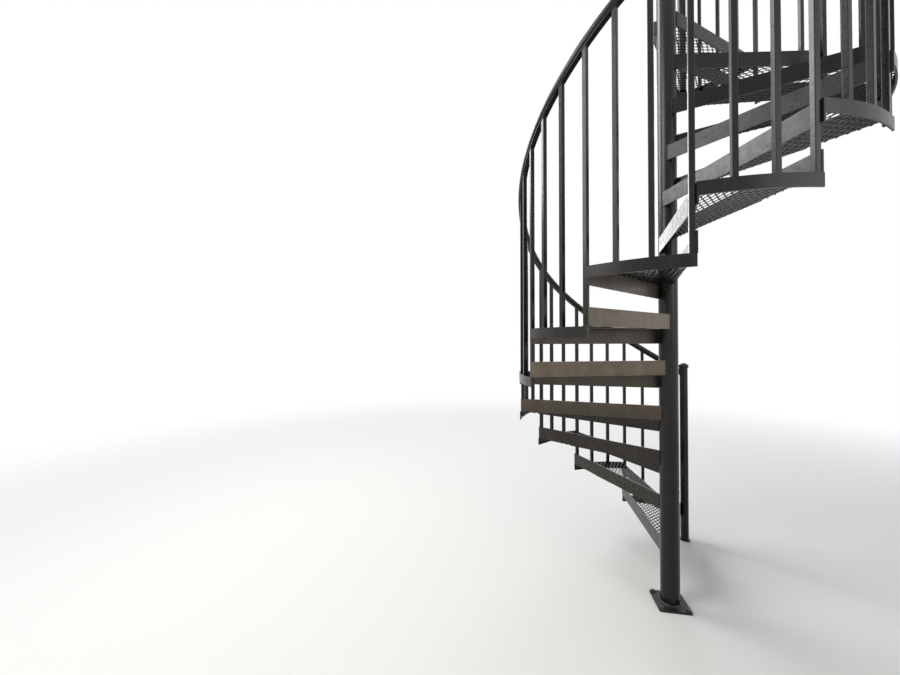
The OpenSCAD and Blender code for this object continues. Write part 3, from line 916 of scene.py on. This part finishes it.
foot_seams = []
posts = []
outer_r = POST_R + HALF_POST + SEAM_OFF
foot_r = outer_r + FOOT_SEAM_OFF
inner_r = POST_R - HALF_POST - BAR_SEAM_OFF
inner_t = HALF_POST + BAR_SEAM_OFF
for k in range(TREADS + 1):
    count = POSTS_PER_TREAD if k < TREADS else LANDING_POSTS + 1
    pitch = TURN / POSTS_PER_TREAD if k < TREADS else LANDING_PITCH
    for j in range(1 if k == 0 else 0, count):
        shared = j == 0
        turned = post_turn(k) + j * pitch
        foot = tread_z(k - 1 if shared else k)
        posts.append(turned)
        sides = (-1,) if shared else (-1, 1)
        for side in sides:
            foot_seams.append(upright_seam(outer_r, turned, side * (HALF_POST + SEAM_OFF),
                                           foot - POST_FOOT, foot))
        foot_seams.append((beside(foot_r, turned, -HALF_POST, foot),
                           beside(foot_r, turned, HALF_POST, foot)))
        if shared:
            top = tread_z(k)
            foot_seams.append(upright_seam(inner_r, turned, inner_t, foot, foot + BAR_H))
            foot_seams.append(upright_seam(inner_r, turned, inner_t, top - BAR_H, top))
print("posts:", len(posts), "seams at them:", len(foot_seams))

# %% [markdown]
# At its head a post meets the flat bar of the rail, which slopes. Four short seams follow
# the post's sides, two of them tilted with the rail. The height and the slope of the rail
# at a post come from the same rule that bent the rail.


# %% Seams under the rail
def rail_z(turn):
    """The height of the rail's centre at an azimuth."""
    part = (turn - LANDING_TURN) / RAIL_BEND
    curve_part = (1 - min(1, max(-1, part))) ** 2 / 4 + max(0, -1 - part)
    return RAIL_LEVEL - RAIL_GRADE * RAIL_BEND * curve_part


def rail_slope(turn):
    fall_share = min(1.0, max(0.0, (1 - (turn - LANDING_TURN) / RAIL_BEND) / 2))
    return math.atan(RAIL_GRADE * fall_share * 180 / (math.pi * POST_R))


rail_drop = RAIL_CHORD + RAIL_BAR_T
inside, outside = POST_R - HALF_POST, POST_R + HALF_POST
head_seams = []
for turned in posts:
    slope = rail_slope(turned)
    head = rail_z(turned) - rail_drop / math.cos(slope) - SEAM_OFF
    climb = HALF_POST * math.tan(slope)
    for r in (inside - SEAM_OFF, outside + SEAM_OFF):
        head_seams.append((beside(r, turned, -HALF_POST, head - climb),
                           beside(r, turned, HALF_POST, head + climb)))
    for t, lift in ((-HALF_POST - SEAM_OFF, -climb), (HALF_POST + SEAM_OFF, climb)):
        head_seams.append((beside(inside, turned, t, head + lift),
                           beside(outside, turned, t, head + lift)))
print("seams under the rail:", len(head_seams))

# %% [markdown]
# The tree now runs once for each group of seams. The beads at the column are the widest,
# because that is where the treads hang.

# %% Weld beads
COLUMN_BEAD_R = 0.0030
POST_BEAD_R = 0.0016
RIPPLE = 0.0042
RING_SPACING = 0.0014


def seams_mesh(name, seams):
    data = bpy.data.meshes.new(name)
    points = [p for seam in seams for p in seam]
    data.from_pydata(points, [(2 * i, 2 * i + 1) for i in range(len(seams))], [])
    return data


for name, seams, bead_r, seed in (("welds_at_column", column_seams, COLUMN_BEAD_R, 3),
                                  ("welds_at_posts", foot_seams, POST_BEAD_R, 5),
                                  ("welds_under_rail", head_seams, POST_BEAD_R, 7)):
    beads = grown(name, weld_tree, seams_mesh("seams", seams), Bead=bead_r, Ripple=RIPPLE,
                  Spacing=RING_SPACING, Seed=seed, Paint=bar_paint)
    piece(name, beads, "black_paint")
    print(name, "faces:", len(beads.polygons))

# %% [markdown]
# ## Bolts
# Four anchors hold the base plate, and two bolts hold the landing where the stair ends. A
# nut is a hexagon whose corners are turned off by a cone. The tree takes a round block with
# many sides and pulls each corner to the smaller of the hexagon and the cone, which gives
# the true curved chamfer. A washer and the end of the stud complete it.

# %% Bolt tree
CONE_AT_MIDDLE = 1.62
RIM_POINTS = 0.5
NUT_SIDES = 24
NUT_RINGS = 5

bolt_tree, bolt_in, in_bolt = new_tree("bolt", Flats="Float", Height="Float", Washer="Float",
                                       Washer_t="Float", Stud="Float", Reach="Float",
                                       Paint="Material")


def disc(r, depth, base, sides, segments=1):
    made = put(bolt_tree, "GeometryNodeMeshCylinder",
               {"Vertices": sides, "Side Segments": segments, "Radius": r, "Depth": depth})
    lift = put(bolt_tree, "ShaderNodeCombineXYZ", {2: in_bolt("MULTIPLY_ADD", depth, 0.5, base)})
    return put(bolt_tree, "GeometryNodeTransform",
               {0: made.outputs["Mesh"], "Translation": lift.outputs[0]}).outputs[0]


nut_block = disc(1.0, bolt_in["Height"], bolt_in["Washer t"], sides=NUT_SIDES, segments=NUT_RINGS)
at = put(bolt_tree, "ShaderNodeSeparateXYZ",
         {0: put(bolt_tree, "GeometryNodeInputPosition").outputs[0]}).outputs
around = in_bolt("ARCTAN2", at[1], at[0])
sector = in_bolt("SUBTRACT", in_bolt("FLOORED_MODULO", around, math.pi / 3), math.pi / 6)
half_flats = in_bolt("MULTIPLY", bolt_in["Flats"], 0.5)
hexagon = in_bolt("DIVIDE", half_flats, in_bolt("COSINE", sector))
middle = in_bolt("MULTIPLY_ADD", bolt_in["Height"], 0.5, bolt_in["Washer t"])
off_middle = in_bolt("ABSOLUTE", in_bolt("SUBTRACT", at[2], middle))
end_share = in_bolt("DIVIDE", off_middle, in_bolt("MULTIPLY", bolt_in["Height"], 0.5))
narrowing = in_bolt("MULTIPLY", end_share, CONE_AT_MIDDLE - 1)
cone = in_bolt("MULTIPLY", half_flats, in_bolt("SUBTRACT", CONE_AT_MIDDLE, narrowing))
radius = in_bolt("MINIMUM", hexagon, cone)
square_r = in_bolt("ADD", in_bolt("MULTIPLY", at[0], at[0]), in_bolt("MULTIPLY", at[1], at[1]))
pulled = in_bolt("MULTIPLY", radius, in_bolt("GREATER_THAN", square_r, RIM_POINTS))
nut_at = put(bolt_tree, "ShaderNodeCombineXYZ", {
    0: in_bolt("MULTIPLY", pulled, in_bolt("COSINE", around)),
    1: in_bolt("MULTIPLY", pulled, in_bolt("SINE", around)),
    2: at[2],
})
nut = put(bolt_tree, "GeometryNodeSetPosition", {0: nut_block, "Position": nut_at.outputs[0]})
print("a nut has", NUT_SIDES, "sides before it is pulled into shape")

# %% [markdown]
# The stud runs through the washer and the nut and ends a little above it. The finished
# bolt is set on every point of the mesh that the tree gets.

# %% Washer, stud and copies
STUD_SIDES = 20
WASHER_SIDES = 32

stud_length = in_bolt("ADD", in_bolt("ADD", bolt_in["Height"], bolt_in["Reach"]), bolt_in["Washer t"])
stud = disc(in_bolt("MULTIPLY", bolt_in["Stud"], 0.5), stud_length, 0.0, sides=STUD_SIDES)
washer = disc(in_bolt("MULTIPLY", bolt_in["Washer"], 0.5), bolt_in["Washer t"], 0.0, sides=WASHER_SIDES)
whole_bolt = put(bolt_tree, "GeometryNodeJoinGeometry")
for shape in (nut.outputs[0], stud, washer):
    bolt_tree.links.new(shape, whole_bolt.inputs[0])
bolts = put(bolt_tree, "GeometryNodeInstanceOnPoints",
            {"Points": bolt_in["Geometry"], "Instance": whole_bolt.outputs[0]})
end_tree(bolt_tree, bolts.outputs[0], bolt_in["Paint"])
print("bolt tree has", len(bolt_tree.nodes), "nodes")

# %% [markdown]
# The anchors stand near the corners of the base plate. They are plated steel that has
# weathered, so they are paler and more matt than the paint around them.

# %% Anchor bolts
BASE_TURN = 31.5
BASE_T = 0.010
BASE_SIDE = 0.152
BASE_CORNER_R = 0.008
ANCHOR_INSET = 0.0185
BASE_CORNER = BASE_SIDE / math.sqrt(2) - BASE_CORNER_R * (math.sqrt(2) - 1)
ANCHOR_R = BASE_CORNER - ANCHOR_INSET
ZINC = (0.045, 0.043, 0.040)
M12 = {"Flats": 0.018, "Height": 0.0075, "Washer": 0.024, "Washer_t": 0.0020, "Stud": 0.012,
       "Reach": 0.0006}

bolt_paint = paint("bolt_paint", ZINC, 0.42, dust=0.7, streaks=0.2, chips=1.0)
anchor_points = bpy.data.meshes.new("anchor_points")
anchor_turns = [BASE_TURN + 45 + 90 * i for i in range(4)]
anchor_points.from_pydata([beside(ANCHOR_R, turned, 0, BASE_T) for turned in anchor_turns], [], [])
anchors = grown("anchor_bolts", bolt_tree, anchor_points, Paint=bolt_paint, **M12)
piece("anchor_bolts", anchors, "black_paint")
print("anchor bolts at", round(ANCHOR_R, 4), "m from the axis, faces:", len(anchors.polygons))

# %% [markdown]
# The landing's two bolts go through its last bar. They are made upright like the anchors,
# and then turned to lie across the bar, with their nuts on the stair's side.

# %% Landing bolts
BOLT_SPREAD = 0.230

bar_middle = math.sqrt((STAIR_R + BAR_REACH) ** 2 - DECK_FACE ** 2) / 2
landing_points = bpy.data.meshes.new("landing_points")
landing_points.from_pydata([(bar_middle + x, 0, 0) for x in (-BOLT_SPREAD, BOLT_SPREAD)], [], [])
deck_bolts = grown("deck_bolts", bolt_tree, landing_points, Paint=bolt_paint, **M12)
at_bar = Matrix.Translation((0, DECK_FACE - BAR_T, LANDING_Z - BAR_H / 2))
deck_bolts.transform(at_bar @ Matrix.Rotation(math.radians(90), 4, "X"))
piece("deck_bolts", deck_bolts, "black_paint")
print("landing bolts are", 2 * BOLT_SPREAD, "m apart, faces:", len(deck_bolts.polygons))
